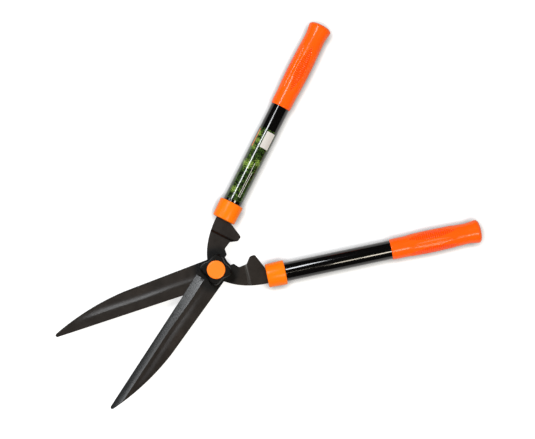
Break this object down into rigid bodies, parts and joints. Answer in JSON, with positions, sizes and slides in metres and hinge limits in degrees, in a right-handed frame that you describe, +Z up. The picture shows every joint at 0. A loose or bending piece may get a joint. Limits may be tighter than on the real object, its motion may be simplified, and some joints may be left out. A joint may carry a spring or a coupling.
{
  "type": "hedge shears",
  "caption": "Two-handed garden shears: straight blades on a pivot with a tension knob, tubular handles with collars and moulded grips.",
  "frame": {"origin": "on the pivot axis, at the flat underside of the bolt head", "axes": "+Z up along the pivot axis, out of the tension knob; +X along the axis of symmetry towards the handles, with the blades pointing to -X; the right half's handle is at +Y"},
  "size_m": [0.519, 0.3588, 0.0373],
  "materials": {
    "blade_steel": "dark brown-black coating, satin, ground bevel along the edge",
    "tube_steel": "gloss black enamel",
    "grip_plastic": "red-orange moulded grip, ribbed",
    "collar_plastic": "orange, semi-gloss",
    "knob_plastic": "black, satin",
    "cap_plastic": "orange, semi-gloss",
    "plug_plastic": "grey, as moulded",
    "zinc_steel": "zinc plated",
    "bush_brass": "turned",
    "label_film": "printed film, green leaf pattern"
  },
  "bodies": {
    "left_half": {"left_blade": "blade_steel", "left_tube": "tube_steel", "left_tang_plug": "plug_plastic", "left_collar": "collar_plastic", "left_grip": "grip_plastic", "left_pin_front": "zinc_steel", "left_pin_rear": "zinc_steel", "pivot_bolt": "zinc_steel", "disc_spring": "zinc_steel"},
    "right_half": {"right_blade": "blade_steel", "right_tube": "tube_steel", "right_tang_plug": "plug_plastic", "right_collar": "collar_plastic", "right_grip": "grip_plastic", "right_pin_front": "zinc_steel", "right_pin_rear": "zinc_steel", "tube_label": "label_film", "pivot_bush": "bush_brass"},
    "washer": {"pressure_washer": "zinc_steel"},
    "knob": {"tension_knob": "knob_plastic", "knob_nut": "zinc_steel", "knob_cap": "cap_plastic"}
  },
  "joints": [
    {"name": "blade_pivot", "type": "hinge", "parent": "left_half", "child": "right_half", "pos_m": [0, 0, 0.00645], "axis": [0, 0, 1], "range_deg": [-31, 90]},
    {"name": "washer_lift", "type": "slide", "parent": "left_half", "child": "washer", "axis": [0, 0, 1], "range_m": [0, 0.0006]},
    {"name": "knob_turn", "type": "hinge", "parent": "washer", "child": "knob", "pos_m": [0, 0, 0.0147], "axis": [0, 0, 1], "range_deg": [0, 170]}
  ],
  "couplings": [
    {"joint": "washer_lift", "follows": "knob_turn", "m_per_rad": 0.00019894}
  ]
}
